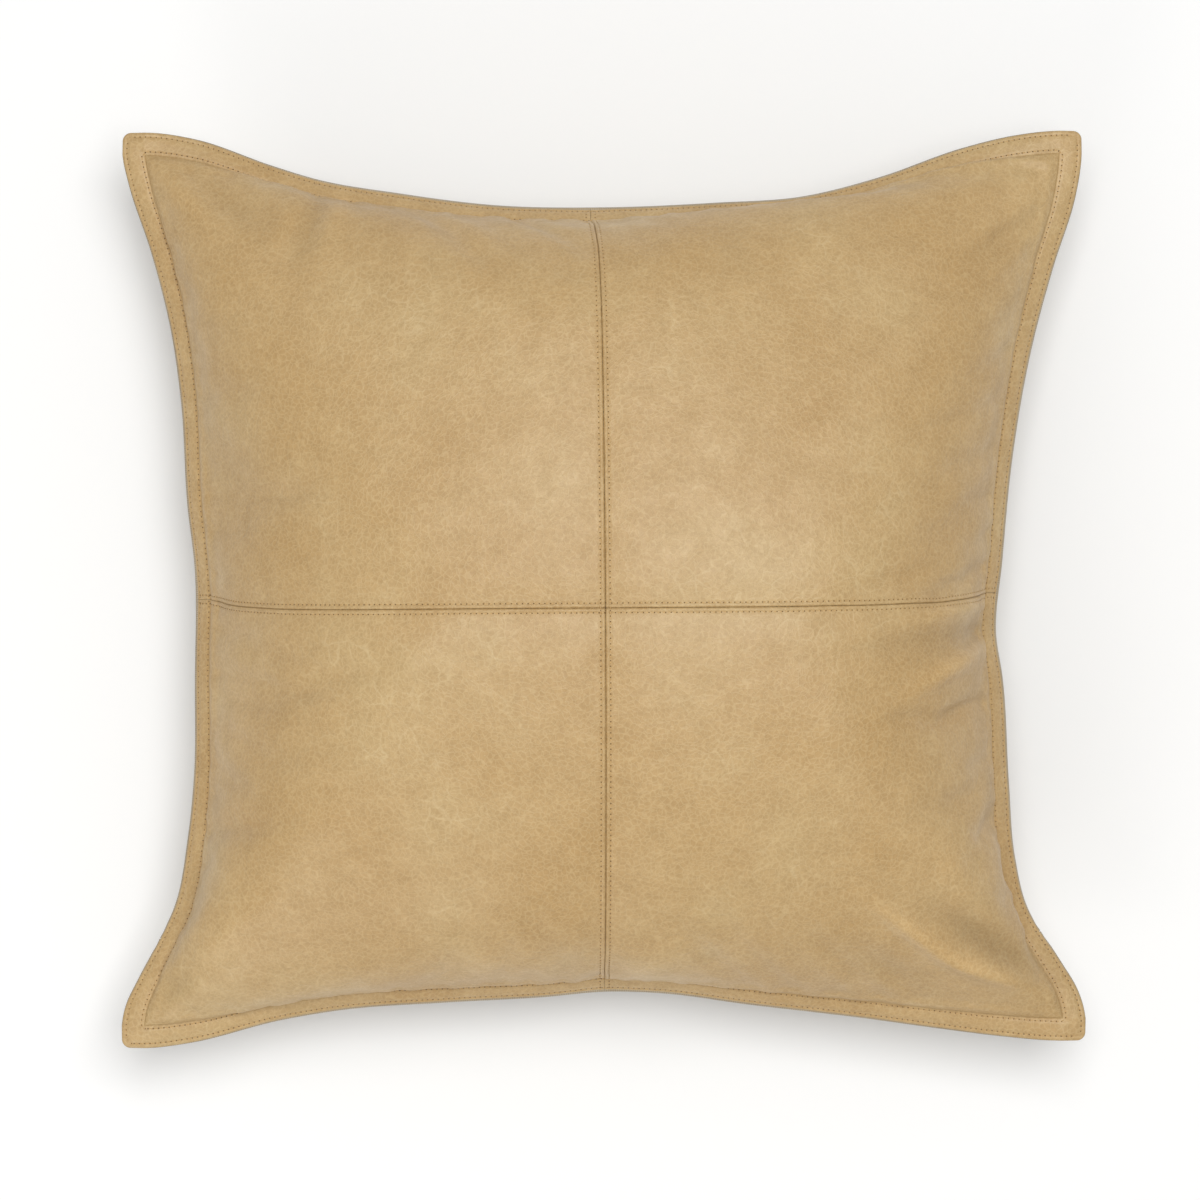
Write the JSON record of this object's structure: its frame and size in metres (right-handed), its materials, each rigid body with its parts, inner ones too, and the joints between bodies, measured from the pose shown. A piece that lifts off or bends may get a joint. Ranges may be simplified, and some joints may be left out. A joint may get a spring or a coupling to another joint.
{
  "type": "throw pillow",
  "caption": "Square throw pillow with a pieced leather front, a stitched flat flange, a canvas back with a zip, and a fibre-filled insert.",
  "frame": {"origin": "middle of the flat resting face on the pillow's back, as it lies on a level surface", "axes": "+Z out of the leather front, +X to the right and +Y to the top edge as the front is looked at"},
  "size_m": [0.5462, 0.5188, 0.1804],
  "materials": {
    "front_leather": "waxed pull-up leather, satin",
    "back_canvas": "plain-woven cotton canvas",
    "ticking": "plain cotton ticking",
    "fibre_fill": "loose polyester fibre",
    "zip_tape": "woven tape",
    "zip_metal": "antiqued",
    "sewing_thread": "waxed bonded thread"
  },
  "bodies": {
    "cover": {"front_panel_top_left": "front_leather", "front_panel_top_right": "front_leather", "front_panel_bottom_left": "front_leather", "front_panel_bottom_right": "front_leather", "back_panel_main": "back_canvas", "back_panel_zip_strip": "back_canvas", "insert_ticking_front": "ticking", "insert_ticking_back": "ticking", "insert_fibre_fill": "fibre_fill", "zip_tape_main_side": "zip_tape", "zip_tape_strip_side": "zip_tape", "zip_teeth_main_side": "zip_metal", "zip_teeth_strip_side": "zip_metal", "zip_top_stops": "zip_metal", "zip_bottom_stop": "zip_metal", "thread_upright_seam": "sewing_thread", "thread_level_seam": "sewing_thread", "thread_flange_seam_front": "sewing_thread", "thread_flange_seam_back": "sewing_thread", "thread_flange_edge_front": "sewing_thread", "thread_flange_edge_back": "sewing_thread", "thread_zip_main": "sewing_thread", "thread_zip_strip": "sewing_thread"},
    "zip_slider": {"zip_slider_body": "zip_metal"},
    "zip_pull": {"zip_pull_tab": "zip_metal"}
  },
  "joints": [
    {"name": "zip_slide", "type": "slide", "parent": "cover", "child": "zip_slider", "axis": [-1, 0, 0], "range_m": [0, 0.338]},
    {"name": "pull_swing", "type": "hinge", "parent": "zip_slider", "child": "zip_pull", "pos_m": [0.169, -0.19768, 0.03076], "axis": [0, -0.7827, 0.6224], "range_deg": [-85, 85]}
  ]
}
